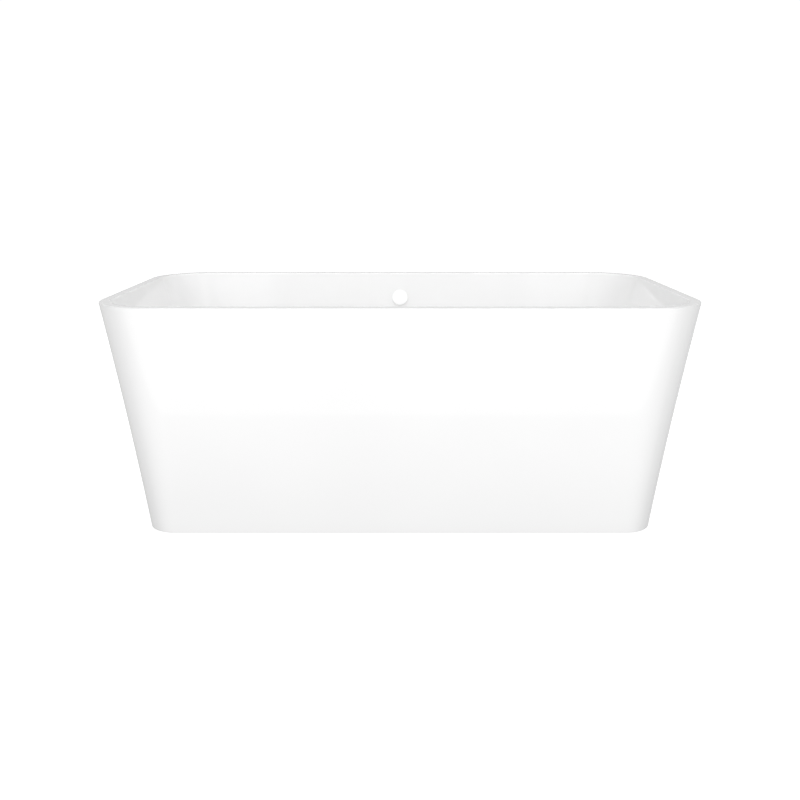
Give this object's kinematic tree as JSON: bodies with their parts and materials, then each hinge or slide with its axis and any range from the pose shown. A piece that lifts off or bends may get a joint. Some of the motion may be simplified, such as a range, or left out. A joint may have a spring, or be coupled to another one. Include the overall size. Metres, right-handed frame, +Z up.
{
  "type": "freestanding bathtub",
  "caption": "Double-skinned rounded rectangular freestanding bathtub with a thin flat rim, levelling feet, a click-clack plug, an overflow with hose and a trap.",
  "frame": {"origin": "on the floor under the middle of the bath, at the centre of the foot pads' level", "axes": "+X along the bath's length, +Y towards the wall with the overflow, +Z up"},
  "size_m": [1.4986, 0.7988, 0.596],
  "materials": {
    "acrylic": "glossy white sanitary acrylic",
    "white_trim": "glossy white moulded trim",
    "adhesive": "cured off-white adhesive",
    "board": "raw pressed board",
    "zinc_steel": "zinc-plated steel",
    "black_plastic": "matt black nylon",
    "chrome": "polished chrome",
    "rubber": "matt black rubber",
    "white_plastic": "satin white moulded plastic",
    "grey_hose": "satin light grey flexible plastic"
  },
  "bodies": {
    "tub": {"basin": "acrylic", "skirt": "acrylic", "overflow_insert": "white_trim", "rim_bond_bead": "adhesive", "base_board": "board", "rail_front": "zinc_steel", "rail_back": "zinc_steel", "cross_bar_left": "zinc_steel", "cross_bar_middle": "zinc_steel", "cross_bar_right": "zinc_steel", "board_screw_1": "zinc_steel", "board_screw_2": "zinc_steel", "board_screw_3": "zinc_steel", "board_screw_4": "zinc_steel", "skirt_tie_1": "zinc_steel", "skirt_tie_2": "zinc_steel", "skirt_tie_3": "zinc_steel", "skirt_tie_4": "zinc_steel", "foot_1_nut": "zinc_steel", "foot_1_locknut": "zinc_steel", "foot_2_nut": "zinc_steel", "foot_2_locknut": "zinc_steel", "foot_3_nut": "zinc_steel", "foot_3_locknut": "zinc_steel", "foot_4_nut": "zinc_steel", "foot_4_locknut": "zinc_steel", "foot_5_nut": "zinc_steel", "foot_5_locknut": "zinc_steel", "hose_clip_top": "zinc_steel", "hose_clip_bottom": "zinc_steel", "waste_flange": "chrome", "plug_cartridge": "chrome", "waste_top_seal": "rubber", "waste_bottom_seal": "rubber", "overflow_seal": "rubber", "trap_inlet_washer": "rubber", "waste_body": "white_plastic", "overflow_body": "white_plastic", "trap_inlet_nut": "white_plastic", "overflow_hose": "grey_hose"},
    "plug": {"plug_cap": "white_trim", "plug_seal": "rubber", "plug_stem": "chrome"},
    "cover": {"overflow_cover": "white_trim"},
    "trap": {"trap_body": "white_plastic", "trap_outlet_washer": "rubber", "trap_outlet_nut": "white_plastic", "outlet_pipe": "white_plastic"},
    "foot_1": {"foot_1_stud": "zinc_steel", "foot_1_pad": "black_plastic"},
    "foot_2": {"foot_2_stud": "zinc_steel", "foot_2_pad": "black_plastic"},
    "foot_3": {"foot_3_stud": "zinc_steel", "foot_3_pad": "black_plastic"},
    "foot_4": {"foot_4_stud": "zinc_steel", "foot_4_pad": "black_plastic"},
    "foot_5": {"foot_5_stud": "zinc_steel", "foot_5_pad": "black_plastic"}
  },
  "joints": [
    {"name": "plug_lift", "type": "slide", "parent": "tub", "child": "plug", "axis": [0, 0, 1], "range_m": [0, 0.009]},
    {"name": "cover_pull", "type": "slide", "parent": "tub", "child": "cover", "axis": [0, -0.9703, 0.2419], "range_m": [0, 0.025]},
    {"name": "trap_swivel", "type": "hinge", "parent": "tub", "child": "trap", "pos_m": [0, 0, 0.06], "axis": [0, 0, 1], "range_deg": [-90, 45]},
    {"name": "foot_1_height", "type": "slide", "parent": "tub", "child": "foot_1", "axis": [0, 0, 1], "range_m": [-0.015, 0.004]},
    {"name": "foot_2_height", "type": "slide", "parent": "tub", "child": "foot_2", "axis": [0, 0, 1], "range_m": [-0.015, 0.004]},
    {"name": "foot_3_height", "type": "slide", "parent": "tub", "child": "foot_3", "axis": [0, 0, 1], "range_m": [-0.015, 0.004]},
    {"name": "foot_4_height", "type": "slide", "parent": "tub", "child": "foot_4", "axis": [0, 0, 1], "range_m": [-0.015, 0.004]},
    {"name": "foot_5_height", "type": "slide", "parent": "tub", "child": "foot_5", "axis": [0, 0, 1], "range_m": [-0.015, 0.004]}
  ]
}
